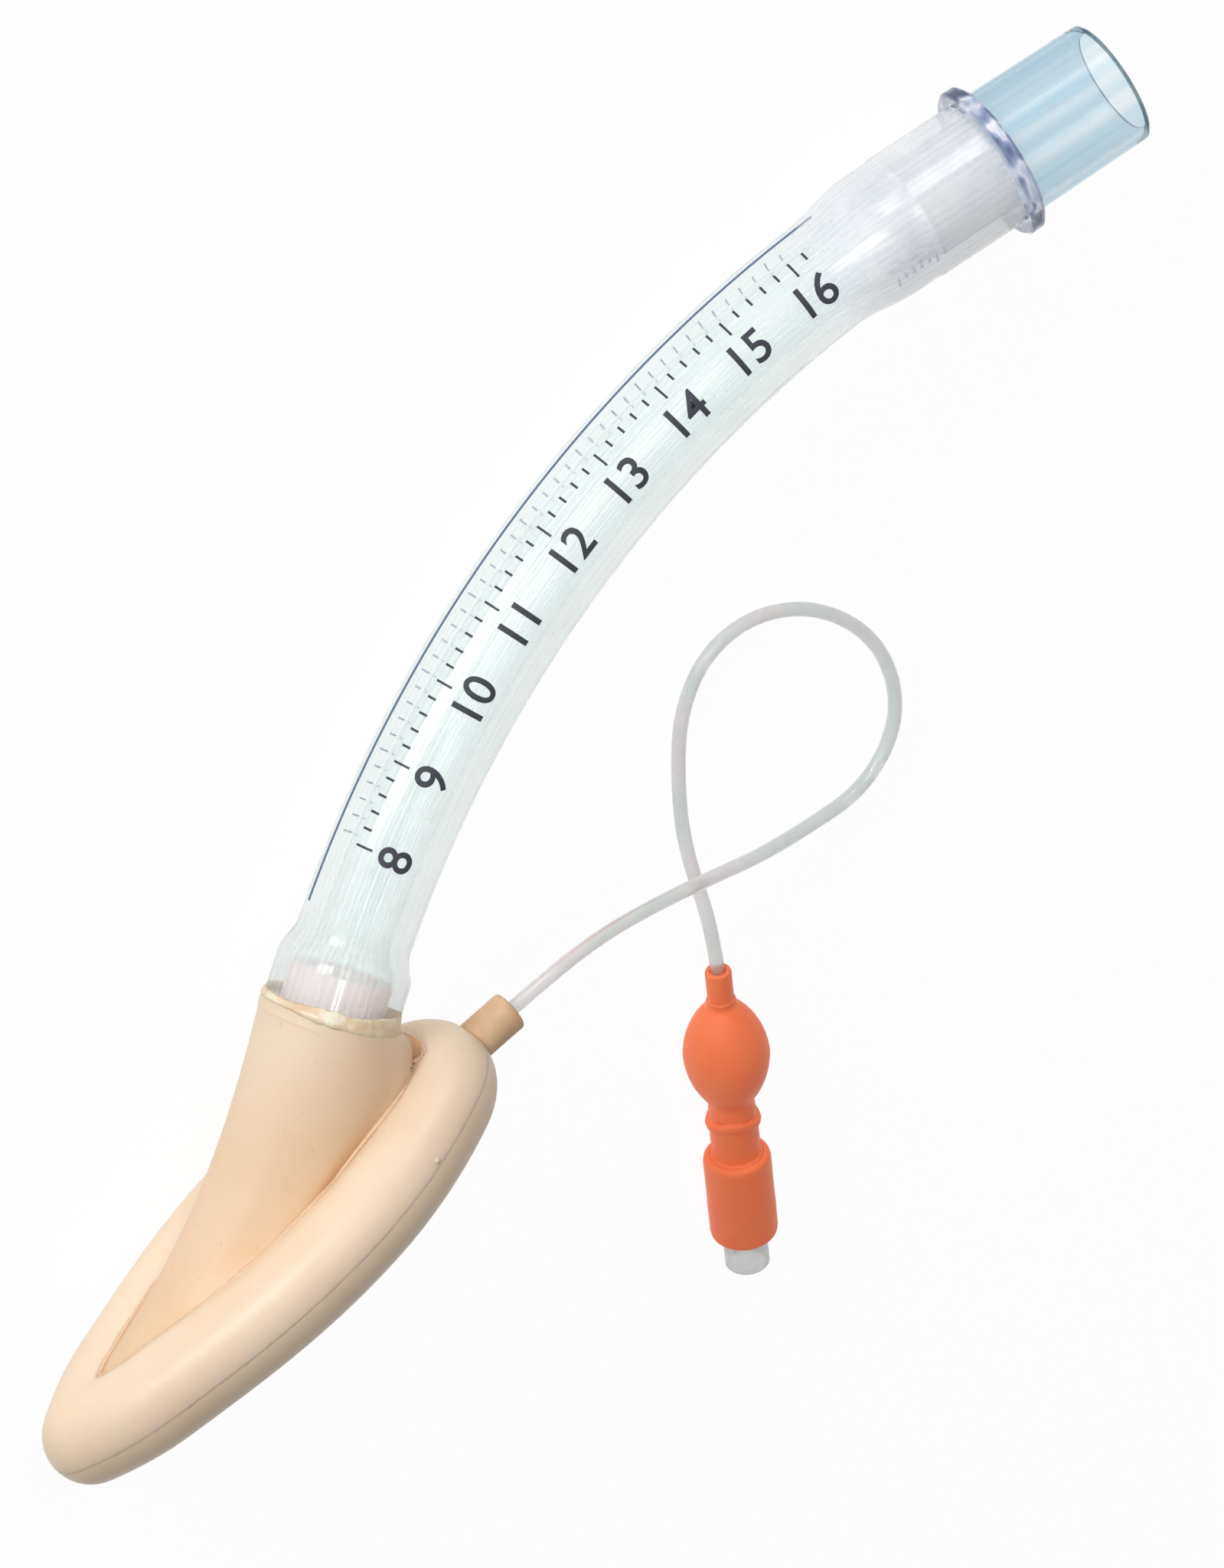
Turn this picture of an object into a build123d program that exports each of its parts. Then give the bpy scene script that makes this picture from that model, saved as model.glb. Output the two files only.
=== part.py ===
from build123d import *
import os
from math import atan2, cos, degrees, pi, radians, sin, tan

os.makedirs("parts", exist_ok=True)

# Laryngeal mask airway, size 2 1/2, lying on its side as it comes to rest.
# The airway is drawn upright in its own frame and laid down at the end:
# X runs from the mask's tip towards the breathing end, Z is dorsal, Y is lateral,
# and the origin is the centre of the cuff's section at the tip. Millimetres.

# Cuff: an inflated ring of round section round the mask
CUFF_LENGTH = 58.0          # section centre at the tip to section centre at the heel
CUFF_HALF_WIDTH = 11.4      # centre plane to section centre, at the widest
CUFF_SECTION = 11.2
CUFF_HEEL_RADIUS = 6.7      # of the ring's centreline at the heel
CUFF_TIP_HEADING = 42.0     # degrees between the two limbs' start and the mask's axis

# Breathing tube
TUBE_OD = 13.4
TUBE_BORE = 8.4
TUBE_TURN = 44.4            # degrees over the curved length
TUBE_CURVED = 110.0
TUBE_HEADING = 30.3         # degrees above the mask's plane, at the bowl
JOINT_X = 53.2
JOINT_Z = 15.8
LOWER_STRAIGHT = 5.0        # over the bowl's spigot
LOWER_FLARE = 9.4
UPPER_STRAIGHT = 11.0       # over the connector's stem
UPPER_FLARE = 23.0
FLARE_OD = 15.8

# Connector: 15 mm male cone, taper 1 in 40
CONE_TIP_D = 15.22
CONE_TAPER = 1.0 / 40.0
CONE_LENGTH = 16.0
CONE_WALL = 1.3
FLANGE_D = 19.0
FLANGE_THICK = 2.0
FLANGE_EDGE = 0.4
CONE_EDGE = 0.25
STEM_OD = 11.6
STEM_BORE = 8.2
STEM_NOSE = 5.0
STEM_NOSE_WALL = 0.6
STEM_FUNNEL = 2.5           # the bore widens from here towards the cone

# Mask bowl
BOWL_WALL = 1.5
BOWL_SEAM_Z = 4.2           # height at which the bowl meets the cuff
SEAM_TIP_INSET = 4.0        # from the cuff's section centres, at the tip and at the heel
SEAM_HEEL_INSET = 3.7
SEAM_WIDEN = 1.9            # beyond the ring's inner side
SKIRT_Z = 0.6               # foot of the bowl, inside the ring
SKIRT_TIP_INSET = 8.6
SKIRT_HEEL_INSET = 5.0
SKIRT_WIDEN = 0.7
BOWL_LIP = 0.3              # the bowl's rim stands this far outside the tube

# Bowl sections between the joint and the seam: the share of the way down the back and
# down the front, the sag below the straight line there, and the bulge before it
SHOULDER_BACK_SHARE = 0.18
SHOULDER_FRONT_SHARE = 0.51
SHOULDER_SAG = 1.9
SHOULDER_BULGE = 2.4
SHOULDER_HALF_WIDTH = 8.7
WAIST_BACK_SHARE = 0.445
WAIST_FRONT_SHARE = 0.82
WAIST_SAG = 3.2
WAIST_BULGE = 1.8
WAIST_HALF_WIDTH = 8.6
SPIGOT_OD = 11.6
SPIGOT_LENGTH = 4.8
BAR_D = 1.6                 # two bars keep the epiglottis out of the airway
BAR_SPACING = 4.0
BAR_DEPTH = 5.5             # behind the joint

# Joint bead
BEAD_WIDTH = 2.0
BEAD_HEIGHT = 0.8

# Inflation port, on the cuff's heel
PORT_OD = 4.9
PORT_REACH = 10.8           # heel section centre to the port's end
PORT_SUNK = 1.0
PORT_DROOP = 5.4            # degrees below the mask's plane
LINE_OD = 1.7
LINE_SOCKET = 5.0

# Pilot balloon, along its own axis from the line's end
NECK_D = 3.0
NECK_L = 4.2
BULB_D = 10.0
BULB_L = 16.5
COLLAR_D = 6.3
COLLAR_L = 1.7
SLEEVE_D = 5.6
SLEEVE_L = 4.9
HOUSING_D = 7.8
HOUSING_L = 12.2
HOUSING_ROUND = 0.9
LINE_IN_NECK = 2.5

# Check valve in the housing: a sprung stem that a syringe's tip pushes off its seat
VALVE_OD = 5.4
VALVE_SUNK = 9.5
INLET_LENGTH = 4.6
INLET_OD = 5.2
LUER_MOUTH = 4.27
LUER_TAPER = 0.06
LUER_DEPTH = 7.5
SEAT_BORE = 2.0
SEAT_THICK = 0.8
CHAMBER_D = 4.0
RETAINER_THICK = 1.2
RETAINER_VENT_D = 0.8
ROD_D = 1.0
ROD_CLEARANCE = 0.12
ROD_IN_LUER = 2.0
SEAL_D = 3.2
SEAL_THICK = 0.78
SHOULDER_D = 2.9
SHOULDER_THICK = 0.5
SEAT_GAP = 0.02
VALVE_TRAVEL = 1.5
SPRING_WIRE = 0.26
SPRING_D = 2.5
SPRING_TURNS = 3.5

# The way it lies
REST_ROLL = -108.6
REST_PITCH = -1.35

# Where the pilot balloon's neck begins on the floor, and which way it points
PILOT_AT = (-1.25, -52.6)
PILOT_HEADING = -114.55

# The inflation line's corners between the port and the neck, on the floor's axes
LINE_RUN = [
    (-12.2, -22.8, 15.2), (-4.4, -29.8, 11.6), (4.4, -38.6, 7.6), (11.2, -46.0, 4.2),
    (18.6, -51.6, 1.7), (26.0, -54.9, 0.85), (33.0, -52.6, 0.85), (37.2, -46.5, 0.85),
    (38.3, -37.5, 0.85), (35.2, -27.6, 0.85), (28.9, -20.8, 0.85), (21.6, -19.3, 0.85),
    (15.2, -22.9, 0.85), (10.4, -29.6, 0.85), (5.6, -38.8, 1.0),
]
LINE_LEAD = 4.4             # straight out of the port
LINE_TAIL = 5.5             # straight into the neck


def rise(angle):
    """Direction in the middle plane, this many degrees above X."""
    return Vector(cos(radians(angle)), 0, sin(radians(angle)))


def across(origin, angle):
    """Plane whose normal is that direction, with its Y axis lateral."""
    return Plane(origin=origin, x_dir=Vector(0, 1, 0).cross(rise(angle)), z_dir=rise(angle))


def turned(profile, plane):
    """Revolve a closed profile of (radius, height) points about the plane's normal."""
    face = make_face(Polyline(*[(r, 0, h) for r, h in profile], close=True))
    return plane.location * revolve(face, Axis.Z)


# Stations along the tube

ARC_RADIUS = TUBE_CURVED / radians(TUBE_TURN)
JOINT = Vector(JOINT_X, 0, JOINT_Z)
TUBE_LENGTH = LOWER_STRAIGHT + TUBE_CURVED + UPPER_STRAIGHT


def station(s):
    """Centre and heading of the tube at length s from the bowl."""
    bent = min(max(s - LOWER_STRAIGHT, 0.0), TUBE_CURVED)
    heading = TUBE_HEADING - TUBE_TURN * bent / TUBE_CURVED
    at = JOINT + rise(TUBE_HEADING) * min(s, LOWER_STRAIGHT)
    a0 = radians(TUBE_HEADING)
    a1 = radians(heading)
    at += Vector(ARC_RADIUS * (sin(a0) - sin(a1)), 0, ARC_RADIUS * (cos(a1) - cos(a0)))
    at += rise(heading) * max(s - LOWER_STRAIGHT - TUBE_CURVED, 0.0)
    return at, heading


def pipe(rings):
    """Solid through circles given as (length along the tube, radius)."""
    faces = []
    for s, r in rings:
        at, heading = station(s)
        faces.append(across(at, heading) * Circle(r))
    return loft(faces)


def straight_run(s0, s1, r):
    a, heading = station(s0)
    return extrude(across(a, heading) * Circle(r), s1 - s0)


def bend(radius):
    """The curved length of the tube between its two flares."""
    s0 = LOWER_FLARE
    s1 = TUBE_LENGTH - UPPER_FLARE
    start, heading = station(s0)
    middle, _ = station((s0 + s1) / 2)
    end, _ = station(s1)
    return sweep(across(start, heading) * Circle(radius), ThreePointArc(start, middle, end))


def flares(radii_low, radii_high):
    """Both ends: straight where they sit on a spigot, then lofted down to the tube."""
    low_end, high_end, r = radii_low[0], radii_high[0], radii_low[-1]
    low_span = LOWER_FLARE - LOWER_STRAIGHT
    high_span = UPPER_FLARE - UPPER_STRAIGHT
    low = [(LOWER_STRAIGHT + low_span * f, a) for f, a in zip((0, 0.34, 0.67, 1), radii_low)]
    high = [(TUBE_LENGTH - UPPER_STRAIGHT - high_span * f, a)
            for f, a in zip((0, 0.34, 0.55, 0.75, 0.9, 1), radii_high)]
    ends = straight_run(0, LOWER_STRAIGHT, low_end) + pipe(low)
    ends += straight_run(TUBE_LENGTH - UPPER_STRAIGHT, TUBE_LENGTH, high_end) + pipe(high)
    return ends


def steps(big, small, shares):
    return [small + (big - small) * share for share in shares]


def make_tube():
    out = TUBE_OD / 2
    bore = TUBE_BORE / 2
    big = FLARE_OD / 2
    low = (1, 0.72, 0.2, 0)
    high = (1, 0.86, 0.66, 0.3, 0.08, 0)
    outer = bend(out) + flares(steps(big, out, low), steps(big, out, high))
    inner = bend(bore) + flares(steps(SPIGOT_OD / 2, bore, low), steps(STEM_OD / 2, bore, high))
    return outer - inner


# Connector

def make_connector():
    at, heading = station(TUBE_LENGTH)
    stem = STEM_OD / 2
    bore = STEM_BORE / 2
    tip = CONE_TIP_D / 2
    root = tip + CONE_LENGTH * CONE_TAPER / 2
    rim = FLANGE_D / 2
    top = FLANGE_THICK + CONE_LENGTH
    deep = UPPER_STRAIGHT + STEM_NOSE
    profile = [
        (bore, -deep), (bore + STEM_NOSE_WALL, -deep),
        (stem - 0.35, -UPPER_STRAIGHT - 0.6), (stem, -UPPER_STRAIGHT + 0.6), (stem, 0),
        (rim - FLANGE_EDGE, 0), (rim, FLANGE_EDGE), (rim, FLANGE_THICK - FLANGE_EDGE),
        (rim - FLANGE_EDGE, FLANGE_THICK), (root, FLANGE_THICK),
        (tip, top - CONE_EDGE), (tip - CONE_EDGE, top), (tip - CONE_WALL + CONE_EDGE, top),
        (tip - CONE_WALL, top - CONE_EDGE), (root - CONE_WALL, FLANGE_THICK), (bore, -STEM_FUNNEL),
    ]
    return turned(profile, across(at, heading))


# Cuff and bowl

def heel_arc_end():
    """Where the round heel of the ring's centreline meets its sides."""
    angle = radians(58)
    centre = CUFF_LENGTH - CUFF_HEEL_RADIUS
    return centre + CUFF_HEEL_RADIUS * cos(angle), CUFF_HEEL_RADIUS * sin(angle), degrees(angle)


def half_ring_path():
    x1, y1, angle = heel_arc_end()
    a = radians(angle)
    w = CUFF_HALF_WIDTH
    n = CUFF_LENGTH
    tip = radians(CUFF_TIP_HEADING)
    heel = CenterArc((CUFF_LENGTH - CUFF_HEEL_RADIUS, 0, 0), CUFF_HEEL_RADIUS, 0, angle)
    side = Spline(
        (x1, y1, 0), (0.72 * n, 0.965 * w, 0), (0.53 * n, w, 0),
        (0.35 * n, 0.83 * w, 0), (0.18 * n, 0.54 * w, 0), (0, 0, 0),
        tangents=[(-sin(a), cos(a), 0), (-cos(tip), -sin(tip), 0)],
    )
    return heel + side


def make_ring():
    r = CUFF_SECTION / 2
    section = Plane(origin=(CUFF_LENGTH, 0, 0), x_dir=(1, 0, 0), z_dir=(0, 1, 0)) * Circle(r)
    half = sweep(section, half_ring_path())
    return half + mirror(half, Plane.XZ) + Sphere(r)


def egg(phi):
    """Half width of the mask's plan as a share of its widest, narrow at the tip."""
    return sin(phi) * (1 - 0.30 * cos(phi) - 0.17 * cos(phi) ** 2)


def half_section(back, front, half_width, roundness):
    """One half of a section between two points of the middle plane, closed along that plane."""
    count = 9
    points = []
    for k in range(count + 1):
        phi = pi * k / count
        at = back + (front - back) * ((1 - cos(phi)) / 2)
        share = roundness * sin(phi) + (1 - roundness) * egg(phi)
        points.append(Vector(at.X, half_width * share, at.Z))
    side = Spline(*points, tangents=[(0, 1, 0), (0, -1, 0)])
    return make_face(side + Line(points[-1], points[0]))


def bowl_form(inset):
    """The bowl's outer form, or its cavity when inset by the wall."""
    up = rise(TUBE_HEADING + 90)
    rim = FLARE_OD / 2 + BOWL_LIP
    inner = CUFF_HALF_WIDTH - CUFF_SECTION / 2
    top = JOINT + up * rim
    low = JOINT - up * rim
    tip = Vector(SEAM_TIP_INSET, 0, BOWL_SEAM_Z)
    heel = Vector(CUFF_LENGTH - SEAM_HEEL_INSET, 0, BOWL_SEAM_Z)
    sections = [half_section(top - up * inset, low + up * inset, rim - inset, 1.0)]
    for back_share, front_share, sag, bulge, half_width, roundness in (
        (SHOULDER_BACK_SHARE, SHOULDER_FRONT_SHARE, SHOULDER_SAG, SHOULDER_BULGE, SHOULDER_HALF_WIDTH, 0.9),
        (WAIST_BACK_SHARE, WAIST_FRONT_SHARE, WAIST_SAG, WAIST_BULGE, WAIST_HALF_WIDTH, 0.55),
    ):
        back = top + (tip - top) * back_share + Vector(inset, 0, -sag - inset)
        front = low + (heel - low) * front_share + Vector(bulge - inset, 0, 0)
        sections.append(half_section(back, front, half_width - inset, roundness))
    back = tip + Vector(2.6 * inset, 0, 0)
    front = heel - Vector(inset, 0, 0)
    sections.append(half_section(back, front, inner + SEAM_WIDEN - inset, 0.0))
    back = Vector(SKIRT_TIP_INSET + 1.8 * inset, 0, SKIRT_Z)
    front = Vector(CUFF_LENGTH - SKIRT_HEEL_INSET - inset, 0, SKIRT_Z)
    foot = half_section(back, front, inner + SKIRT_WIDEN - inset, 0.0)
    half = loft(sections) + loft([sections[-1], foot])
    return half + mirror(half, Plane.XZ)


def make_bowl():
    at, heading = station(0)
    plane = across(at, heading)
    shell = bowl_form(0.0) - bowl_form(BOWL_WALL)
    bore = TUBE_BORE / 2
    spigot = plane * Circle(SPIGOT_OD / 2)
    shell += extrude(spigot, SPIGOT_LENGTH) + extrude(plane * Circle(FLARE_OD / 2 + BOWL_LIP), -BOWL_WALL)
    shell -= extrude(plane * Circle(bore), SPIGOT_LENGTH + 1) + extrude(plane * Circle(bore), -4)
    return shell + aperture_bars()


def aperture_bars():
    """Two round bars from the bowl's roof to its floor, across the airway's mouth."""
    middle = JOINT - rise(TUBE_HEADING) * BAR_DEPTH
    bars = []
    for side in (-1, 1):
        at = Plane(origin=middle + Vector(0, side * BAR_SPACING / 2, 0), z_dir=rise(TUBE_HEADING + 90))
        bars.append(at.location * Cylinder(BAR_D / 2, 3 * FLARE_OD))
    return (bars[0] + bars[1]) & bowl_form(BOWL_WALL / 2)


def make_bead():
    at, heading = station(0)
    r = FLARE_OD / 2
    profile = [
        (r, 0), (r, BEAD_WIDTH * 0.6), (r + BEAD_HEIGHT * 0.8, BEAD_WIDTH * 0.25), (r + BEAD_HEIGHT, 0),
    ]
    return turned(profile, across(at, heading))


# Inflation port

def port_plane():
    return across(Vector(CUFF_LENGTH, 0, 0), -PORT_DROOP)


def make_port():
    ring = CUFF_SECTION / 2
    plane = port_plane()
    start = plane.origin + plane.z_dir * (ring - PORT_SUNK)
    body = extrude(across(start, -PORT_DROOP) * Circle(PORT_OD / 2), PORT_REACH - ring + PORT_SUNK)
    end = plane.origin + plane.z_dir * (PORT_REACH - LINE_SOCKET)
    return body - extrude(across(end, -PORT_DROOP) * Circle(LINE_OD / 2), LINE_SOCKET + 1)


# Pilot balloon and its valve: lengths t run from the neck along the axis

T_BULB = NECK_L
T_COLLAR = T_BULB + BULB_L
T_SLEEVE = T_COLLAR + COLLAR_L
T_HOUSING = T_SLEEVE + SLEEVE_L
T_END = T_HOUSING + HOUSING_L
T_MOUTH = T_END + INLET_LENGTH
T_BODY = T_END - VALVE_SUNK
T_SEAT = T_MOUTH - LUER_DEPTH - SEAT_THICK
T_SEAL = T_SEAT - SEAT_GAP - SEAL_THICK
T_SHOULDER = T_SEAL - SHOULDER_THICK
T_RETAINER = T_BODY + RETAINER_THICK


def pilot_plane():
    """Axis of the pilot balloon, resting on its bulb and on the housing's far rim."""
    spread = T_END - (T_BULB + BULB_L / 2)
    tilt = atan2((BULB_D - HOUSING_D) / 2, spread)
    height = BULB_D / 2 + (T_BULB + BULB_L / 2) * sin(tilt)
    heading = radians(PILOT_HEADING)
    along = Vector(cos(heading) * cos(tilt), sin(heading) * cos(tilt), -sin(tilt))
    side = Vector(-sin(heading), cos(heading), 0)
    return Plane(origin=(PILOT_AT[0], PILOT_AT[1], height), x_dir=side, z_dir=along)


def lathe(outline):
    """Revolve a closed outline drawn in the XZ plane about the pilot balloon's axis."""
    return pilot_plane().location * revolve(make_face(outline), Axis.Z)


def make_pilot():
    b = BULB_D / 2
    curve = Spline(
        (NECK_D / 2, 0, T_BULB), (0.76 * b, 0, T_BULB + 0.18 * BULB_L), (b, 0, T_BULB + 0.5 * BULB_L),
        (0.82 * b, 0, T_BULB + 0.82 * BULB_L), (0.9 * COLLAR_D / 2, 0, T_COLLAR),
    )
    ends = Polyline((0.9 * COLLAR_D / 2, 0, T_COLLAR), (0, 0, T_COLLAR), (0, 0, T_BULB),
                    (NECK_D / 2, 0, T_BULB))
    bulb = lathe(curve + ends)
    neck = lathe(Polyline((0, 0, 0), (NECK_D / 2 - 0.2, 0, 0), (NECK_D / 2, 0, 0.2),
                          (NECK_D / 2, 0, T_BULB + 0.5), (0, 0, T_BULB + 0.5), close=True))
    s, h, c, f = SLEEVE_D / 2, HOUSING_D / 2, COLLAR_D / 2, HOUSING_ROUND
    rear = lathe(FilletPolyline(
        (0, 0, T_COLLAR - 1), (c - 0.2, 0, T_COLLAR - 1), (c, 0, T_COLLAR), (c, 0, T_SLEEVE),
        (s, 0, T_SLEEVE + 0.3), (s, 0, T_HOUSING), (h, 0, T_HOUSING), (h, 0, T_END), (0, 0, T_END),
        radius=[0, 0, 0.3, 0.3, 0.2, 0.3, f, f, 0], close=True))
    socket = lathe(Polyline((0, 0, T_BODY), (VALVE_OD / 2, 0, T_BODY), (VALVE_OD / 2, 0, T_END + 1),
                            (0, 0, T_END + 1), close=True))
    room = ROD_D / 2 + 0.5
    space = lathe(Polyline((0, 0, T_BODY - VALVE_TRAVEL - 0.8), (room, 0, T_BODY - VALVE_TRAVEL - 0.8),
                           (room, 0, T_BODY + 0.1), (0, 0, T_BODY + 0.1), close=True))
    fit = LINE_OD / 2
    hole = lathe(Polyline((0, 0, -1), (fit, 0, -1), (fit, 0, LINE_IN_NECK), (0, 0, LINE_IN_NECK), close=True))
    return bulb + neck + rear - socket - space - hole


def make_valve_body():
    mouth = LUER_MOUTH / 2
    deep = mouth - LUER_TAPER * LUER_DEPTH / 2
    out = VALVE_OD / 2
    tail = INLET_OD / 2
    hold = CHAMBER_D / 2
    bore = SEAT_BORE / 2
    return lathe(Polyline(
        (out, 0, T_BODY), (out, 0, T_END), (tail, 0, T_END), (tail, 0, T_MOUTH - 0.2),
        (tail - 0.15, 0, T_MOUTH), (mouth, 0, T_MOUTH), (deep, 0, T_MOUTH - LUER_DEPTH),
        (bore, 0, T_MOUTH - LUER_DEPTH), (bore, 0, T_SEAT), (hold, 0, T_SEAT), (hold, 0, T_BODY), close=True))


def make_retainer():
    hold = CHAMBER_D / 2
    hole = ROD_D / 2 + ROD_CLEARANCE
    disc = lathe(Polyline((hole, 0, T_BODY), (hold, 0, T_BODY), (hold, 0, T_RETAINER),
                          (hole, 0, T_RETAINER), close=True))
    plane = pilot_plane()
    middle = (hole + hold) / 2
    for k in range(3):
        a = 2 * pi * k / 3
        at = plane.location * Pos(middle * cos(a), middle * sin(a), T_BODY + RETAINER_THICK / 2)
        disc -= at * Cylinder(RETAINER_VENT_D / 2, RETAINER_THICK + 1)
    return disc


def make_valve_stem():
    rod = ROD_D / 2
    shoulder = SHOULDER_D / 2
    low = T_BODY + 0.3
    high = T_MOUTH - LUER_DEPTH + ROD_IN_LUER
    return lathe(Polyline(
        (0, 0, low), (rod, 0, low), (rod, 0, T_SHOULDER), (shoulder, 0, T_SHOULDER), (shoulder, 0, T_SEAL),
        (rod, 0, T_SEAL), (rod, 0, high - 0.2), (rod - 0.15, 0, high), (0, 0, high), close=True))


def make_seal():
    rod = ROD_D / 2
    return lathe(Polyline((rod, 0, T_SEAL), (SEAL_D / 2, 0, T_SEAL), (SEAL_D / 2, 0, T_SEAL + SEAL_THICK),
                          (rod, 0, T_SEAL + SEAL_THICK), close=True))


def make_spring():
    low = T_RETAINER + SPRING_WIRE / 2 + 0.02
    high = T_SHOULDER - SPRING_WIRE / 2 - 0.02
    coil = Helix(pitch=(high - low) / SPRING_TURNS, height=high - low, radius=(SPRING_D - SPRING_WIRE) / 2)
    start = Plane(origin=coil @ 0, z_dir=coil % 0)
    wire = sweep(start * Circle(SPRING_WIRE / 2), coil)
    return pilot_plane().location * Pos(0, 0, low) * wire


# Inflation line

def line_points(rest):
    """Corners of the line's route, from inside the port's socket to inside the neck."""
    way = port_plane()
    inside = way.origin + way.z_dir * (PORT_REACH - LINE_SOCKET)
    outside = way.origin + way.z_dir * (PORT_REACH + LINE_LEAD)
    pilot = pilot_plane()
    ends = [(rest * Pos(*p)).position for p in (inside, outside)]
    tail = [pilot.origin - pilot.z_dir * LINE_TAIL, pilot.origin + pilot.z_dir * LINE_IN_NECK]
    return ends + [Vector(*p) for p in LINE_RUN] + tail


def make_line(points):
    radii = []
    for a, b, c in zip(points, points[1:], points[2:]):
        turn = (b - a).get_angle(c - b)
        radii.append(0.45 * min((b - a).length, (c - b).length) / tan(radians(turn / 2)))
    path = FilletPolyline(*points, radius=radii)
    start = Plane(origin=points[0], z_dir=points[1] - points[0])
    line = sweep(start * Circle(LINE_OD / 2), path)
    share = line.volume / (pi * LINE_OD ** 2 / 4 * path.length)
    print("line length %.1f mm, volume over section times length %.4f" % (path.length, share))
    print("corner radii mm", [round(r, 1) for r in radii])
    print("corners mm", [tuple(round(v, 2) for v in p) for p in points])
    return line


def save(name, shape):
    shape.label = name
    export_step(shape, "parts/" + name + ".step")
    print(name, "volume %.1f mm3" % shape.volume, "solids", len(shape.solids()), "valid", shape.is_valid)


def cone_middle():
    at, heading = station(TUBE_LENGTH)
    return at + rise(heading) * (FLANGE_THICK + CONE_LENGTH / 2)


def stem_bore_middle():
    at, heading = station(TUBE_LENGTH)
    return at - rise(heading) * (UPPER_STRAIGHT + STEM_NOSE + STEM_FUNNEL) / 2


def tell(name, here, ahead):
    """Print a point and the direction to the next one, for the record's mounts."""
    a, b = here.position, ahead.position
    print(name, "at mm", [round(v, 3) for v in a], "axis", [round(v, 5) for v in (b - a)])


def main():
    port_foot = port_plane().origin + port_plane().z_dir * (CUFF_SECTION / 2 - PORT_SUNK)
    port_seat = extrude(across(port_foot, -PORT_DROOP) * Circle(PORT_OD / 2), PORT_REACH)
    airway = {
        "airway_tube": make_tube(),
        "airway_connector": make_connector(),
        "mask_bowl": make_bowl(),
        "cuff": make_ring() - bowl_form(0.0) - port_seat,
        "adhesive_bead": make_bead(),
        "inflation_port": make_port(),
    }
    # laid on its side, then centred over the floor by its own corners
    lean = Rot(Y=REST_PITCH) * Rot(X=REST_ROLL)
    box = Compound(children=[lean * shape for shape in airway.values()]).bounding_box()
    rest = Pos(-box.center().X, -box.center().Y, -box.min.Z) * lean
    for name, shape in airway.items():
        save(name, rest * shape)
    out = rise(TUBE_HEADING - TUBE_TURN)
    tell("cone middle", rest * Pos(*cone_middle()), rest * Pos(*(cone_middle() + out)))
    way = pilot_plane()
    luer = way.origin + way.z_dir * (T_MOUTH - LUER_DEPTH / 2)
    tell("luer middle", Pos(*luer), Pos(*(luer + way.z_dir)))
    tell("stem bore middle", rest * Pos(*stem_bore_middle()), rest * Pos(*(stem_bore_middle() + out)))
    tell("mask frame at", rest, rest * Pos(1, 0, 0))
    save("inflation_line", make_line(line_points(rest)))
    save("pilot_balloon", make_pilot())
    save("valve_body", make_valve_body())
    save("valve_retainer", make_retainer())
    save("valve_stem", make_valve_stem())
    save("valve_seal", make_seal())
    save("valve_spring", make_spring())


main()
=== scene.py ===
from math import atan2, cos, exp, pi, radians, sin

import bmesh
import bpy
from mathutils import Matrix, Vector, noise
from mathutils.bvhtree import BVHTree


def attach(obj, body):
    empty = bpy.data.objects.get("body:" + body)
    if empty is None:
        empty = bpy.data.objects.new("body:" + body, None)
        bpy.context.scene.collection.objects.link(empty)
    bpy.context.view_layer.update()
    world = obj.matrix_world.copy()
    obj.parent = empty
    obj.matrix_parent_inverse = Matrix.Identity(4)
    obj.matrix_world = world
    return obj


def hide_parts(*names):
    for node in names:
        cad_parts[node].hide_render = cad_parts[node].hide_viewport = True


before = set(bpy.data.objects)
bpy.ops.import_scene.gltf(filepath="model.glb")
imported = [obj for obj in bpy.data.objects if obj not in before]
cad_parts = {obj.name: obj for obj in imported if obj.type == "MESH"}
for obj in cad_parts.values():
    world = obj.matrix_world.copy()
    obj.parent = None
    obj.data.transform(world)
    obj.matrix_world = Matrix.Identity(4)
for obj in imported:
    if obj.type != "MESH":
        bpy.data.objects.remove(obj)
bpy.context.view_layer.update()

MM = 0.001

# The airway's own frame, in millimetres: X from the mask's tip to the breathing end,
# Z dorsal, laid on its side on the floor.
LAID_AT = (-94.120, -16.574, 15.807)
LAID_TURN = (radians(-108.6), radians(-1.35), 0.0)
LAID = (Matrix.Translation(Vector(LAID_AT) * MM)
        @ Matrix.Rotation(LAID_TURN[1], 4, "Y") @ Matrix.Rotation(LAID_TURN[0], 4, "X"))


def laid(x, y, z):
    """A point of the airway's own frame, where it lies."""
    return LAID @ Vector((x * MM, y * MM, z * MM))


# Camera: far off with a long lens, so that the picture is almost without perspective

LOOK_RIGHT = Vector((0.6736336, -0.4222232, 0.6065850))
LOOK_UP = Vector((0.7262615, 0.5302882, -0.4374229))
LOOK_BACK = Vector((-0.1369748, 0.7352020, 0.6638644))
PIXELS_PER_MM = 11.47
TIP_PIXEL = (118.7, 1875.2)
PICTURE = (1599, 2048)
LENS = 1000.0
SENSOR = 36.0
CLIP_END = 60.0
MIDDLE = (-22.4, -2.4, 12.7)


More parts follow.
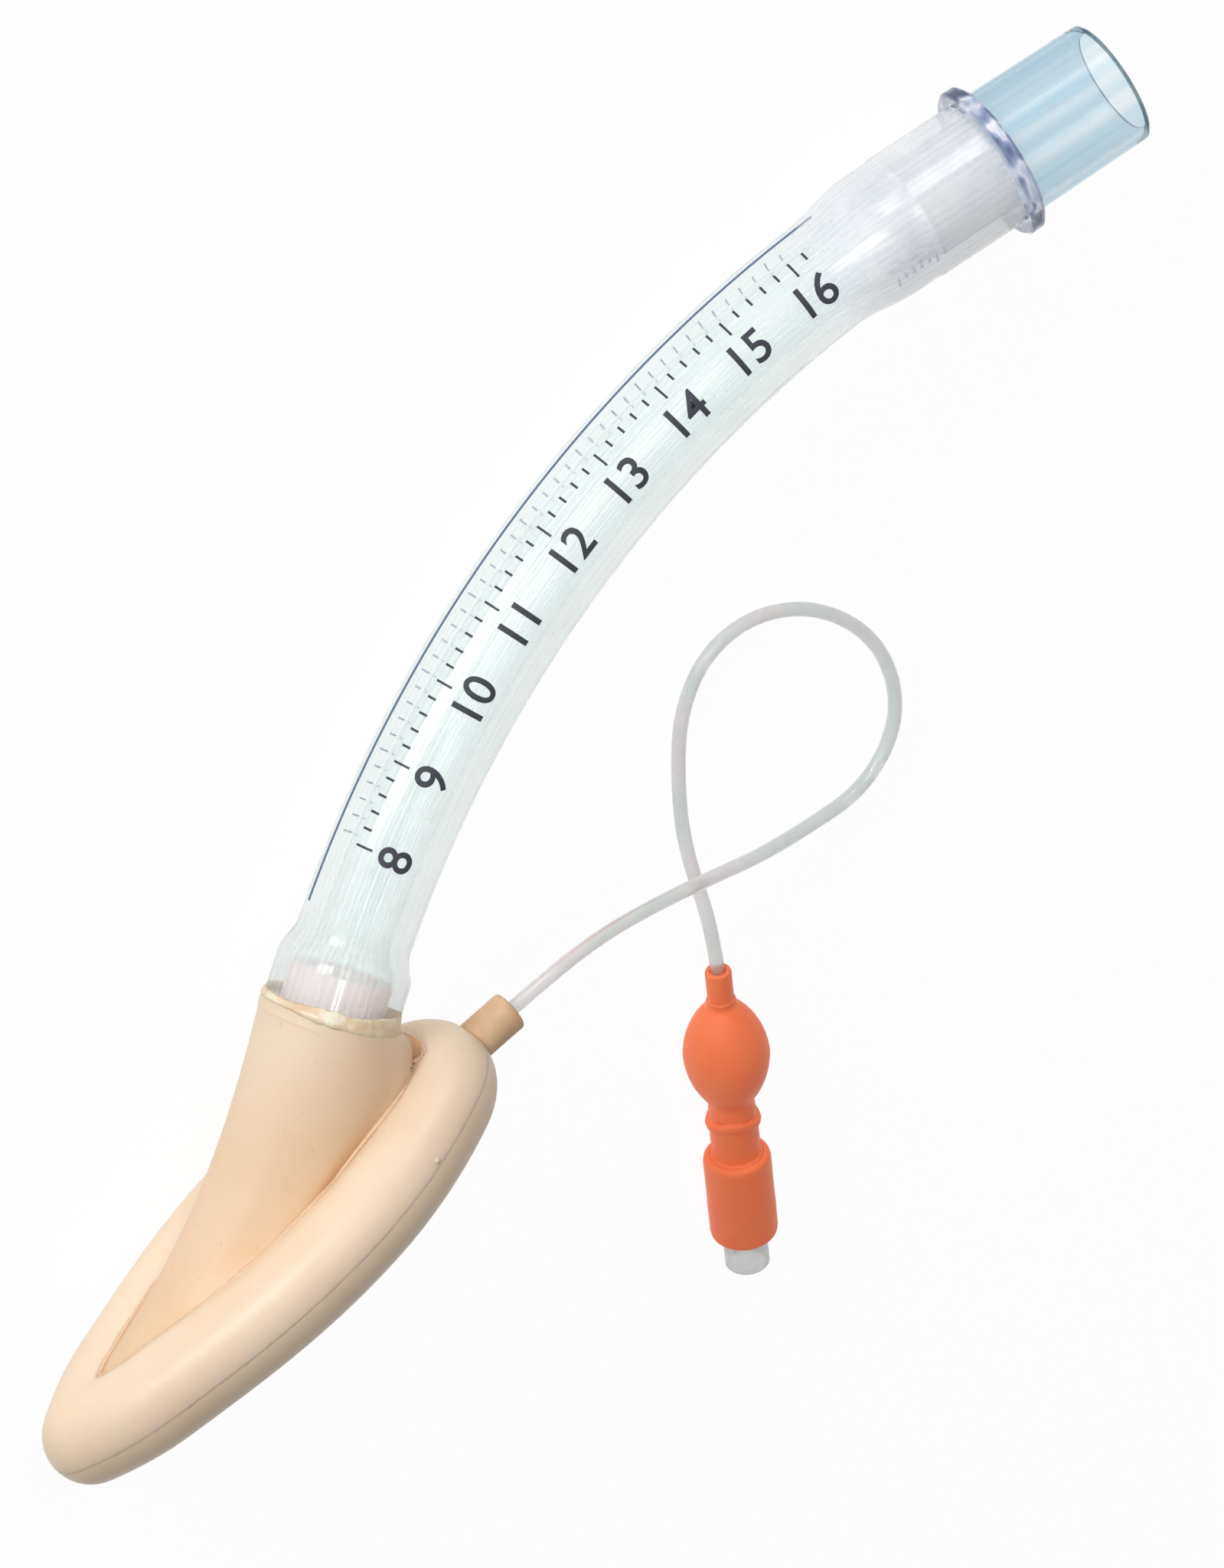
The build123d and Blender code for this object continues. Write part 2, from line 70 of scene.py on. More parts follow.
def set_camera():
    right = (PICTURE[0] / 2 - TIP_PIXEL[0]) / PIXELS_PER_MM
    up = (TIP_PIXEL[1] - PICTURE[1] / 2) / PIXELS_PER_MM
    target = laid(0, 0, 0) + (LOOK_RIGHT * right + LOOK_UP * up) * MM
    depth = (Vector(MIDDLE) * MM - target).dot(LOOK_BACK)
    target += LOOK_BACK * depth
    data = bpy.data.cameras.new("camera")
    data.lens = LENS
    data.sensor_width = SENSOR
    data.clip_end = CLIP_END
    distance = PICTURE[1] / PIXELS_PER_MM * MM * LENS / SENSOR
    camera = bpy.data.objects.new("camera", data)
    turn = Matrix((LOOK_RIGHT, LOOK_UP, LOOK_BACK)).transposed().to_4x4()
    camera.matrix_world = Matrix.Translation(target + LOOK_BACK * distance) @ turn
    bpy.context.scene.collection.objects.link(camera)
    bpy.context.scene.camera = camera


set_camera()


# Sizes shared with the solids, in millimetres

TUBE_OD = 13.4
TUBE_HEADING = radians(30.3)
TUBE_TURN = radians(44.4)
TUBE_ARC = 110.0
LOWER_STRAIGHT = 5.0
TUBE_LENGTH = 126.0
MOUTH_S = TUBE_LENGTH + 18.0
JOINT_X, JOINT_Z = 53.2, 15.8
ARC_RADIUS = TUBE_ARC / TUBE_TURN
ARC_X = JOINT_X + LOWER_STRAIGHT * cos(TUBE_HEADING) + ARC_RADIUS * sin(TUBE_HEADING)
ARC_Z = JOINT_Z + LOWER_STRAIGHT * sin(TUBE_HEADING) - ARC_RADIUS * cos(TUBE_HEADING)
END_HEADING = TUBE_HEADING - TUBE_TURN
END_X = ARC_X - ARC_RADIUS * sin(END_HEADING)
END_Z = ARC_Z + ARC_RADIUS * cos(END_HEADING)
RING_LENGTH = 58.0
RING_HALF = 11.4
RING_R = 5.6
HEEL_R = 6.7


def on_tube(s, turn, radius):
    """A point at length s along the tube, this far round it from its dorsal side."""
    bent = min(max(s - LOWER_STRAIGHT, 0.0), TUBE_ARC)
    heading = TUBE_HEADING - bent / ARC_RADIUS
    spare = s - LOWER_STRAIGHT - bent
    x = ARC_X - ARC_RADIUS * sin(heading) + spare * cos(heading)
    z = ARC_Z + ARC_RADIUS * cos(heading) + spare * sin(heading)
    w = radius * cos(turn)
    return laid(x - w * sin(heading), radius * sin(turn), z + w * cos(heading))


# Colours and materials

def hue(code):
    """A screen colour as the renderer's linear values."""
    parts = [((code >> shift) & 255) / 255 for shift in (16, 8, 0)]
    return tuple(p / 12.92 if p <= 0.04045 else ((p + 0.055) / 1.055) ** 2.4 for p in parts)


class Tap:
    """A socket of a material's tree that takes part in sums."""

    def __init__(self, finish, socket):
        self.finish, self.socket = finish, socket

    def sum(self, operation, other):
        return self.finish.add("ShaderNodeMath", dict(operation=operation), {0: self, 1: other})

    def __add__(self, other):
        return self.sum("ADD", other)

    def __sub__(self, other):
        return self.sum("SUBTRACT", other)

    def __rsub__(self, other):
        return self.finish.add("ShaderNodeMath", dict(operation="SUBTRACT"), {0: other, 1: self})

    def __mul__(self, other):
        return self.sum("MULTIPLY", other)

    def __truediv__(self, other):
        return self.sum("DIVIDE", other)

    __radd__ = __add__
    __rmul__ = __mul__

    def __pow__(self, other):
        return self.sum("POWER", other)

    def above(self, other):
        return self.sum("GREATER_THAN", other)

    def least(self, other):
        return self.sum("MINIMUM", other)

    def sine(self):
        return self.finish.add("ShaderNodeMath", dict(operation="SINE"), {0: self})


class Finish:
    """One material and its tree."""

    def __init__(self, name):
        self.material = bpy.data.materials.new(name)
        self.material.use_nodes = True
        self.tree = self.material.node_tree
        self.tree.nodes.clear()
        self.out = self.tree.nodes.new("ShaderNodeOutputMaterial")

    def feed(self, node, key, value):
        socket = node.inputs[key]
        if isinstance(value, Tap):
            self.tree.links.new(value.socket, socket)
        elif isinstance(value, tuple) and len(value) == 3 and socket.type == "RGBA":
            socket.default_value = (*value, 1)
        else:
            socket.default_value = value

    def add(self, kind, settings, sockets, output=0):
        node = self.tree.nodes.new(kind)
        for key, value in settings.items():
            if key == "stops":
                ramp = node.color_ramp
                while len(ramp.elements) < len(value):
                    ramp.elements.new(0.5)
                for element, (place, colour) in zip(ramp.elements, value):
                    element.position = place
                    element.color = (*colour, 1)
            else:
                setattr(node, key, value)
        for key, value in sockets.items():
            self.feed(node, key, value)
        return Tap(self, node.outputs[output])

    def place(self):
        return self.add("ShaderNodeTexCoord", {}, {}, "Object")

    def airway_place(self):
        """Place in the airway's own frame, in millimetres."""
        return self.add("ShaderNodeMapping", {"vector_type": "TEXTURE"}, {
            "Vector": self.place(), "Location": tuple(v * MM for v in LAID_AT),
            "Rotation": LAID_TURN, "Scale": (MM, MM, MM)})

    def rows(self, tap):
        """The three parts of a vector."""
        first = self.add("ShaderNodeSeparateXYZ", {}, {0: tap})
        return [Tap(self, first.socket.node.outputs[k]) for k in range(3)]

    def join(self, x, y, z):
        return self.add("ShaderNodeCombineXYZ", {}, {0: x, 1: y, 2: z})

    def noise(self, scale, detail=3.0, at=None, rough=0.5):
        sockets = {"Vector": at or self.place(), "Scale": scale, "Detail": detail, "Roughness": rough}
        return self.add("ShaderNodeTexNoise", {}, sockets)

    def ramp(self, value, *stops):
        return self.add("ShaderNodeValToRGB", {"stops": stops}, {0: value})

    def mix(self, factor, a, b):
        """Two colours mixed; the mix node keeps its colours in sockets 6 and 7."""
        return self.add("ShaderNodeMix", {"data_type": "RGBA"}, {0: factor, 6: a, 7: b}, 2)

    def span(self, value, low, high, to_low=0.0, to_high=1.0):
        """A value carried from one range to another and held inside it."""
        sockets = {0: value, 1: low, 2: high, 3: to_low, 4: to_high}
        return self.add("ShaderNodeMapRange", {"clamp": True}, sockets)

    def bump(self, height, strength, distance):
        return self.add("ShaderNodeBump", {}, {"Height": height, "Strength": strength, "Distance": distance})

    def skin(self, **values):
        """A Principled shader; an underscore in a name stands for a space."""
        sockets = {key.replace("_", " "): value for key, value in values.items()}
        return self.add("ShaderNodeBsdfPrincipled", {}, sockets)

    def layer(self, factor, under, over):
        return self.add("ShaderNodeMixShader", {}, {0: factor, 1: under, 2: over})

    def angle(self, y, x):
        return self.add("ShaderNodeMath", dict(operation="ARCTAN2"), {0: y, 1: x})

    def show(self, shader):
        self.tree.links.new(shader.socket, self.out.inputs["Surface"])
        return self.material


def tube_rows(f):
    """Length along the tube, angle round it and distance from its axis, with a maker of unrolled places."""
    x, y, z = f.rows(f.airway_place())
    dx, dz = x - ARC_X, z - ARC_Z
    arc_s = (f.angle(dx, dz) + TUBE_HEADING) * ARC_RADIUS + LOWER_STRAIGHT
    arc_w = (dx * dx + dz * dz) ** 0.5 - ARC_RADIUS
    ex, ez = x - END_X, z - END_Z
    end_s = ex * cos(END_HEADING) + ez * sin(END_HEADING) + LOWER_STRAIGHT + TUBE_ARC
    end_w = ez * cos(END_HEADING) - ex * sin(END_HEADING)
    past = arc_s.above(LOWER_STRAIGHT + TUBE_ARC)
    s = arc_s + (end_s - arc_s) * past
    w = arc_w + (end_w - arc_w) * past
    radius = (y * y + w * w) ** 0.5

    def unrolled(stretch, wide=TUBE_OD / 2):
        """A place on the tube for a noise, drawn out along its length by a small stretch."""
        return f.join(w / radius * wide, y / radius * wide, s * stretch)

    return s, f.angle(y, w), radius, unrolled


TUBE_RIBS = 52.0
LOW_FLARE = (13.0, 6.0)
HIGH_FLARE = (99.0, 109.0)
OUTER_SKIN_R = 6.3


def clear_tube_finish():
    """Clear plastic with fine ribs drawn along it, milky at both flares."""
    f = Finish("clear_tube")
    s, turn, radius, unrolled = tube_rows(f)
    streak = f.noise(1.5, 1.5, unrolled(0.006))
    broad = f.noise(0.30, 1.0, unrolled(0.03))
    cloud = f.noise(0.13, 2.0, unrolled(1.0))
    ribs = (turn * TUBE_RIBS).sine() * 0.5 + 0.5
    low_end = f.span(s, *LOW_FLARE)
    high_end = f.span(s, *HIGH_FLARE)
    lines = ribs * (0.45 - low_end * 0.25) + streak * 0.55 + low_end * 0.125
    tint = f.ramp(lines * 0.6 + broad * 0.4,
                  (0.30, hue(0xD9E8E6)), (0.50, hue(0xE9F2F1)), (0.66, hue(0xF8FBFB)))
    # The lilac clouds mixed in towards the high flare are painted shade.
    lilac = f.mix(f.span(cloud, 0.35, 0.65), hue(0xEAEEF8), hue(0xFAFBFD))
    tint = f.mix(high_end * 0.85, tint, lilac)
    milk = f.span(lines, 0.30, 0.75, 0.12, 0.22) + f.span(cloud, 0.35, 0.7, 0.0, 0.10) + high_end * 0.24
    milk = (milk + low_end * 0.10).least(0.6)
    relief = f.bump((ribs * 0.7 + streak * 0.3) * radius.above(OUTER_SKIN_R), 0.2, 0.00010)
    clear = f.skin(Base_Color=f.mix(high_end * 0.35 + 0.5, tint, hue(0xFFFFFF)), Roughness=0.05,
                   Transmission_Weight=1.0, IOR=1.04, Normal=relief)
    milky = f.skin(Base_Color=tint, Roughness=0.13, Specular_IOR_Level=0.8, Coat_Weight=0.5,
                   Coat_Roughness=0.05, Normal=relief)
    return f.show(f.layer(milk, clear, milky))


def connector_finish():
    """Pale blue cone with painted lengthwise reflection bands and a painted dark shade line inside its mouth,
    and a flange with painted navy and lilac refraction patches.
    """
    f = Finish("clear_connector")
    s, _, radius, unrolled = tube_rows(f)
    patch = f.noise(1.5, 1.5, unrolled(0.3, 1.6))
    # The pale lengthwise bands along the cone are painted reflections; they also thicken the milky layer.
    band = f.noise(0.34, 1.0, unrolled(0.004))
    cone = f.ramp(band, (0.40, hue(0xA9C8D8)), (0.50, hue(0xBAD4E1)), (0.57, hue(0xE0ECF2)))
    # The flange's navy, lilac and pale patches are painted refraction and painted shade.
    flange_painted_refraction = f.ramp(patch, (0.38, hue(0x46557E)), (0.46, hue(0x8D99C3)), (0.52, hue(0xEEE7F0)),
                 (0.62, hue(0xA9B8D6)))
    on_rim = f.span(radius, 8.0, 8.5)
    inside = f.span(radius, 7.2, 6.8)
    # The thin dark band round the inside of the mouth is painted shade.
    mouth_painted_shade = f.span(s, MOUTH_S - 0.30, MOUTH_S - 0.18) * inside
    tint = f.mix(inside, cone, hue(0xFFFFFF))
    tint = f.mix(on_rim, tint, flange_painted_refraction)
    tint = f.mix(f.span(s, TUBE_LENGTH + 0.3, TUBE_LENGTH - 0.4), tint, hue(0xFBFBFE))
    tint = f.mix(mouth_painted_shade, tint, hue(0x56707E))
    milk = f.span(band, 0.42, 0.60, 0.04, 0.20) + on_rim * 0.42 + mouth_painted_shade * 0.5
    clear = f.skin(Base_Color=tint, Roughness=0.03, Transmission_Weight=1.0, IOR=1.16)
    milky = f.skin(Base_Color=tint, Roughness=0.06, Specular_IOR_Level=0.7, Coat_Weight=0.3)
    return f.show(f.layer(milk.least(0.8), clear, milky))


def skin_relief(f, strength):
    """The fine grain of moulded silicone."""
    fine = f.noise(1400.0, 3.0)
    broad = f.noise(120.0, 2.0)
    return f.bump(fine * 0.4 + broad * 0.6, strength, 0.00012)


def bowl_finish():
    """Translucent silicone, darker and warmer low on the mask as painted shade, and pinker where the tube
    covers the spigot.
    """
    f = Finish("bowl_silicone")
    z = f.rows(f.airway_place())[2]
    s, _, radius, _ = tube_rows(f)
    cloud = f.noise(75.0, 3.0)
    # The tint is darker and warmer low on the mask: painted shade deep in the bowl's recess.
    height = f.span(z, 5.0, 19.0)
    tint = f.mix(height, hue(0xE6BC92), hue(0xE9D2B5))
    tint = f.mix(f.span(cloud, 0.35, 0.7) * 0.35, tint, hue(0xF0E0CA))
    spigot = f.span(s, -0.2, 0.3) * f.span(radius, 7.2, 6.6)
    tint = f.mix(spigot, tint, f.mix(f.noise(300.0), hue(0xE3C6C8), hue(0xEAD9D6)))
    speck = f.span(f.noise(2600.0, 1.0), 0.70, 0.76)
    tint = f.mix(speck * 0.35, tint, hue(0xC79A70))
    return f.show(f.skin(Base_Color=tint, Roughness=f.span(cloud, 0.3, 0.7, 0.38, 0.48),
                         Subsurface_Weight=0.25, Subsurface_Scale=0.004, Subsurface_Radius=(1.0, 0.55, 0.35),
                         Normal=skin_relief(f, 0.10)))


def cuff_finish():
    f = Finish("cuff_skin")
    cloud = f.noise(60.0, 3.0)
    tint = f.mix(f.span(cloud, 0.3, 0.7), hue(0xEACFAF), hue(0xEDD9BF))
    speck = f.span(f.noise(2300.0, 1.0), 0.72, 0.78)
    tint = f.mix(speck * 0.3, tint, hue(0xCDA27B))
    return f.show(f.skin(Base_Color=tint, Roughness=f.span(cloud, 0.3, 0.7, 0.32, 0.42),
                         Subsurface_Weight=0.25, Subsurface_Scale=0.004, Subsurface_Radius=(1.0, 0.6, 0.4),
                         Normal=skin_relief(f, 0.08)))


def bead_finish():
    f = Finish("joint_adhesive")
    flow = f.noise(420.0, 4.0, rough=0.65)
    tint = f.ramp(flow, (0.36, hue(0xE0C19B)), (0.50, hue(0xEAD3B2)), (0.63, hue(0xF5EAD6)))
    return f.show(f.skin(Base_Color=tint, Roughness=0.34, Coat_Weight=0.15, Subsurface_Weight=0.3,
                         Subsurface_Scale=0.002, Normal=f.bump(flow, 0.5, 0.0003)))


def port_finish():
    f = Finish("port_rubber")
    cloud = f.noise(260.0, 3.0)
    tint = f.mix(f.span(cloud, 0.3, 0.7), hue(0xCBA079), hue(0xDDBB95))
    return f.show(f.skin(Base_Color=tint, Roughness=0.5, Normal=skin_relief(f, 0.2)))


def line_finish():
    f = Finish("line_plastic")
    cloud = f.noise(90.0, 2.0)
    tint = f.ramp(cloud, (0.38, hue(0xCFD8D3)), (0.50, hue(0xDDE2DE)), (0.62, hue(0xEBE4E4)))
    clear = f.skin(Base_Color=f.mix(0.5, tint, hue(0xF8FAF9)), Roughness=0.04, Transmission_Weight=1.0,
                   IOR=1.40)
    milky = f.skin(Base_Color=tint, Roughness=0.14, Coat_Weight=0.5)
    return f.show(f.layer(f.span(cloud, 0.3, 0.7, 0.30, 0.45), clear, milky))


def orange_finish():
    f = Finish("orange_silicone")
    cloud = f.noise(230.0, 3.0)
    tint = f.mix(f.span(cloud, 0.3, 0.7), hue(0xFD7A48), hue(0xFF8756))
    speck = f.span(f.noise(2800.0, 1.0), 0.70, 0.77)
    tint = f.mix(speck * 0.3, tint, hue(0xD85C2C))
    # The faint orange emission is a painted glow that lightens the moulding where the lamps leave it dim.
    return f.show(f.skin(Base_Color=tint, Roughness=f.span(cloud, 0.3, 0.7, 0.45, 0.56),
                         Subsurface_Weight=0.15, Subsurface_Scale=0.002, Subsurface_Radius=(1.0, 0.35, 0.15),
                         Emission_Color=hue(0xFF6430), Emission_Strength=0.14, Normal=skin_relief(f, 0.18)))


def inlet_finish():
    f = Finish("inlet_plastic")
    cloud = f.noise(300.0, 2.0)
    milky = f.skin(Base_Color=f.mix(cloud, hue(0xF6F7F8), hue(0xFEFEFE)), Roughness=0.25,
                   Subsurface_Weight=0.3, Subsurface_Scale=0.003)
    clear = f.skin(Base_Color=hue(0xFDFEFE), Roughness=0.2, Transmission_Weight=1.0, IOR=1.2)
    return f.show(f.layer(f.span(cloud, 0.3, 0.7, 0.5, 0.7), clear, milky))


def plain_finish(name, light, dark, roughness, metallic=0.0):
    """One colour with a fine grain."""
    f = Finish(name)
    grain = f.noise(700.0, 3.0)
    return f.show(f.skin(Base_Color=f.mix(grain, hue(dark), hue(light)), Metallic=metallic,
                         Roughness=f.span(grain, 0.3, 0.7, roughness, roughness + 0.1)))


FINISHES = {
    "airway_tube": clear_tube_finish(),
    "airway_connector": connector_finish(),
    "mask_bowl": bowl_finish(),
    "cuff": cuff_finish(),
    "adhesive_bead": bead_finish(),
    "inflation_port": port_finish(),
    "inflation_line": line_finish(),
    "pilot_balloon": orange_finish(),
    "valve_body": inlet_finish(),
    "valve_retainer": plain_finish("retainer_plastic", 0xEFF3F3, 0xDCE2E3, 0.3),
    "valve_stem": plain_finish("stem_plastic", 0xE6E9EA, 0xD2D6D8, 0.3),
    "valve_seal": plain_finish("seal_rubber", 0x3A3A3E, 0x2A2A2D, 0.55),
    "valve_spring": plain_finish("spring_steel", 0xD4D5D6, 0xB9BABC, 0.25, 1.0),
}
INK = plain_finish("print_ink", 0x2A2C3A, 0x1D1F2B, 0.45)
SEAM = plain_finish("seam_adhesive", 0xE4C4A4, 0xD8B18D, 0.22)
FAR_INK = plain_finish("far_print_ink", 0xA9BED2, 0x8FA9C3, 0.5)
LINE_INK = plain_finish("reference_ink", 0x54718F, 0x40597A, 0.45)


def dress(obj, material):
    """Give an object this one material."""
    obj.data.materials.clear()
    obj.data.materials.append(material)


for node, material in FINISHES.items():
    dress(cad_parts[node], material)


# Making pieces

def new_piece(name, mesh, material, replaces=None):
    obj = bpy.data.objects.new(name, mesh)
    bpy.context.scene.collection.objects.link(obj)
    dress(obj, material)
    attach(obj, "airway")
    if replaces:
        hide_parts(replaces)
    return obj


def mesh_from(name, bm, smooth=True):
    mesh = bpy.data.meshes.new(name)
    bm.to_mesh(mesh)
    bm.free()
    mesh.polygons.foreach_set("use_smooth", [smooth] * len(mesh.polygons))
    return mesh


def settled(obj):
    """The object's shape with its modifiers worked in, as a mesh of its own."""
    bpy.context.view_layer.update()
    mesh = bpy.data.meshes.new_from_object(obj.evaluated_get(bpy.context.evaluated_depsgraph_get()))
    for modifier in list(obj.modifiers):
        obj.modifiers.remove(modifier)
    bpy.data.objects.remove(obj)
    return mesh


def rings(bm, rows, close_start=False, close_end=False, loop=False):
    """Quads between rows of points, each row a closed ring."""
    made = [[bm.verts.new(p) for p in row] for row in rows]
    pairs = list(zip(made, made[1:])) + ([(made[-1], made[0])] if loop else [])
    for a, b in pairs:
        for k in range(len(a)):
            n = (k + 1) % len(a)
            bm.faces.new((a[k], a[n], b[n], b[k]))
    if close_start:
        bm.faces.new(list(reversed(made[0])))
    if close_end:
        bm.faces.new(made[-1])


def piece_from(name, bm, material, replaces=None, smooth=True):
    """Turn a closed shape's faces outward and make it a piece."""
    bmesh.ops.recalc_face_normals(bm, faces=bm.faces)
    return new_piece(name, mesh_from(name, bm, smooth), material, replaces)


def hoop(at, side, over, radius, steps):
    """A ring of points round a place, across two ways."""
    turns = [2 * pi * k / steps for k in range(steps)]
    return [at + (side * cos(turn) + over * sin(turn)) * radius for turn in turns]


def ridge(off, height, width):
    """How high a fine raised line stands at this distance from its middle."""
    return height * exp(-(off / width) ** 2)


# Inflation line

LINE_ROUTE = [
    (-30.37, -17.09, 17.48), (-21.02, -17.93, 17.99), (-12.2, -22.8, 15.2), (-4.4, -29.8, 11.6),
    (4.4, -38.6, 7.6), (11.2, -46.0, 4.2), (18.6, -51.6, 1.7), (26.0, -54.9, 0.85), (33.0, -52.6, 0.85),
    (37.2, -46.5, 0.85), (38.3, -37.5, 0.85), (35.2, -27.6, 0.85), (28.9, -20.8, 0.85), (21.6, -19.3, 0.85),
    (15.2, -22.9, 0.85), (10.4, -29.6, 0.85), (5.6, -38.8, 1.0), (1.03, -47.6, 5.73), (-2.29, -54.87, 5.4),
]
LINE_OD = 1.7


def lay_line():
    """The line as a round cord, with what hangs on its far end."""
    data = bpy.data.curves.new("inflation_line_run", "CURVE")
    data.dimensions = "3D"
    spline = data.splines.new("NURBS")
    spline.points.add(len(LINE_ROUTE) - 1)
    for point, (x, y, z) in zip(spline.points, LINE_ROUTE):
        point.co = (x * MM, y * MM, z * MM, 1)
    spline.order_u = 3
    spline.use_endpoint_u = True
    data.resolution_u = 16
    data.bevel_depth = LINE_OD * MM / 2
    data.bevel_resolution = 6
    data.use_fill_caps = True
    obj = bpy.data.objects.new("inflation_line_run", data)
    bpy.context.scene.collection.objects.link(obj)
    data.materials.append(FINISHES["inflation_line"])
    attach(obj, "airway")
    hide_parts("inflation_line")


# Pilot balloon: neck, bulb, collar, sleeve and valve housing, turned about one axis

PILOT_AT = (-1.25, -52.6)
PILOT_HEADING = radians(-114.55)
T_BULB, T_COLLAR, T_SLEEVE, T_HOUSING, T_END = 4.2, 21.5, 23.0, 27.3, 39.5
T_SOCKET = 29.98
T_ROD_ROOM = 27.7
BULB_MIDDLE = 12.45
LINE_IN_NECK = 2.5
LINE_HOLE_R = 0.86
NECK_R, BULB_R, PINCH_R, COLLAR_R, SLEEVE_R, HOUSING_R = 1.5, 5.0, 2.72, 3.2, 2.8, 3.9
BULB_END_R = (1.55, 2.75)
POCKET_R = 2.72
ROD_ROOM_R = 1.0
CLOSED_R = 0.02
BULB_STEPS = 34
PILOT_STEPS = 160
MOULD_LINES = [k * pi / 2 for k in (-3, -1, 1, 3, 5)]

# Bulb and housing both rest on the floor
PILOT_TILT = atan2(BULB_R - HOUSING_R, T_END - BULB_MIDDLE)


def pilot_frame():
    """Where the neck begins, the way along the moulding, and two ways across it."""
    height = BULB_R + BULB_MIDDLE * sin(PILOT_TILT)
    flat = cos(PILOT_TILT)
    along = Vector((cos(PILOT_HEADING) * flat, sin(PILOT_HEADING) * flat, -sin(PILOT_TILT)))
    side = Vector((-sin(PILOT_HEADING), cos(PILOT_HEADING), 0))
    return Vector((*PILOT_AT, height)), along, side, along.cross(side)


def corner(t, r, t1, r1, t2, r2, size, count=5):
    """A rounded corner at (t, r) between two neighbouring points."""
    out = []
    a = Vector((t1 - t, r1 - r)).normalized() * size
    b = Vector((t2 - t, r2 - r)).normalized() * size
    for k in range(count + 1):
        u = k / count
        out.append((t + a.x * (1 - u) ** 2 + b.x * u * u, r + a.y * (1 - u) ** 2 + b.y * u * u))
    return out


def bulb_radius(u):
    """Bulb's radius at a share of its length: full in the middle, blunter at the neck's end."""
    full = BULB_R * sin(pi * u ** 0.96) ** 0.66
    ends = BULB_END_R[0] + (BULB_END_R[1] - BULB_END_R[0]) * u
    return max(full, ends)


def pilot_profile():
    """(length, radius, saddle) of the moulding's outline, from the line's hole to the valve's."""
    rows = [(LINE_IN_NECK, CLOSED_R), (LINE_IN_NECK, LINE_HOLE_R), (0.25, LINE_HOLE_R), (0.0, 1.0)]
    rows += corner(0.0, NECK_R, 0.0, 0.9, 2.0, NECK_R, 0.3)
    rows += [(t, NECK_R) for t in (1.4, 2.6, 3.6)]
    rows += corner(T_BULB, NECK_R + 0.02, 3.0, NECK_R, T_BULB + 0.7, 2.4, 0.25)
    for k in range(1, BULB_STEPS):
        u = k / BULB_STEPS
        u = (1 - cos(pi * u)) / 2 * 0.9 + u * 0.1
        rows.append((T_BULB + (T_COLLAR - T_BULB - 0.2) * u, bulb_radius(u)))
    collar = [(T_COLLAR - 0.25, PINCH_R), (T_COLLAR - 0.05, PINCH_R + 0.02)]
    collar += corner(T_COLLAR + 0.15, COLLAR_R, T_COLLAR, PINCH_R, T_COLLAR + 1.1, COLLAR_R, 0.3)
    collar += corner(T_COLLAR + 1.05, COLLAR_R, T_COLLAR, COLLAR_R, T_COLLAR + 1.2, SLEEVE_R, 0.3)
    collar += [(T_COLLAR + 1.25, SLEEVE_R + 0.04)]
    saddles = [-0.35, -0.4] + [-0.45] * (len(collar) - 3) + [-0.4]
    foot = T_HOUSING + 0.15
    sleeve = [(T_SLEEVE + t, SLEEVE_R) for t in (0.3, 1.5, 3.2)]
    sleeve += corner(foot, SLEEVE_R, T_SLEEVE, SLEEVE_R, foot, 3.6, 0.35)
    sleeve += corner(foot, HOUSING_R, foot, SLEEVE_R, T_END, HOUSING_R, 0.85, 8)
    sleeve += [(T_HOUSING + t, HOUSING_R + 0.02 * sin(t)) for t in (2.2, 4.0, 6.0, 8.0, 10.0)]
    sleeve += corner(T_END, HOUSING_R, T_HOUSING, HOUSING_R, T_END, 2.7, 0.75, 8)
    sleeve += [(T_END, POCKET_R + 0.23), (T_END - 0.1, POCKET_R), (T_END - 1.0, POCKET_R),
               (T_SOCKET, POCKET_R), (T_SOCKET, ROD_ROOM_R), (T_ROD_ROOM, ROD_ROOM_R), (T_ROD_ROOM, CLOSED_R)]
    return ([(t, r, 0.0) for t, r in rows] + [(t, r, saddle) for (t, r), saddle in zip(collar, saddles)]
            + [(t, r, 0.0) for t, r in sleeve])


def make_pilot():
    """The moulding, with a fine mould line down each side as the camera sees it."""
    origin, along, side, over = pilot_frame()
    up_turn = atan2(LOOK_BACK.dot(over), LOOK_BACK.dot(side))
    bm = bmesh.new()
    rows = []
    for t, r, saddle in pilot_profile():
        row = []
        for k in range(PILOT_STEPS):
            turn = 2 * pi * k / PILOT_STEPS
            c, d = cos(turn), sin(turn)
            reach = r
            if r > 1.2:
                off = min(abs(turn - up_turn - line_turn) for line_turn in MOULD_LINES)
                swell = 1.0 + 0.006 * noise.noise(Vector((t * 0.35, c * 1.3, d * 1.3)))
                reach = (r + ridge(off * r, 0.05, 0.16)) * swell
            here = t + saddle * cos(2 * (turn - up_turn))
            row.append((origin + along * here + (side * c + over * d) * reach) * MM)
        rows.append(row)
    rings(bm, rows, True, True)
    obj = piece_from("pilot_moulding", bm, FINISHES["pilot_balloon"], "pilot_balloon")
    return obj


pilot = make_pilot()
lay_line()


# Cuff: an inflated skin with a fine parting line round its outer side

HEEL_END = 58
TIP_TURN = 42
TURN_STEP = 4
STOP_STEPS = 12
# Places along one side of the ring, as shares of its length and half width
RING_STOPS = ((0.72, 0.965), (0.53, 1.0), (0.35, 0.83), (0.18, 0.54), (0.0, 0.0))


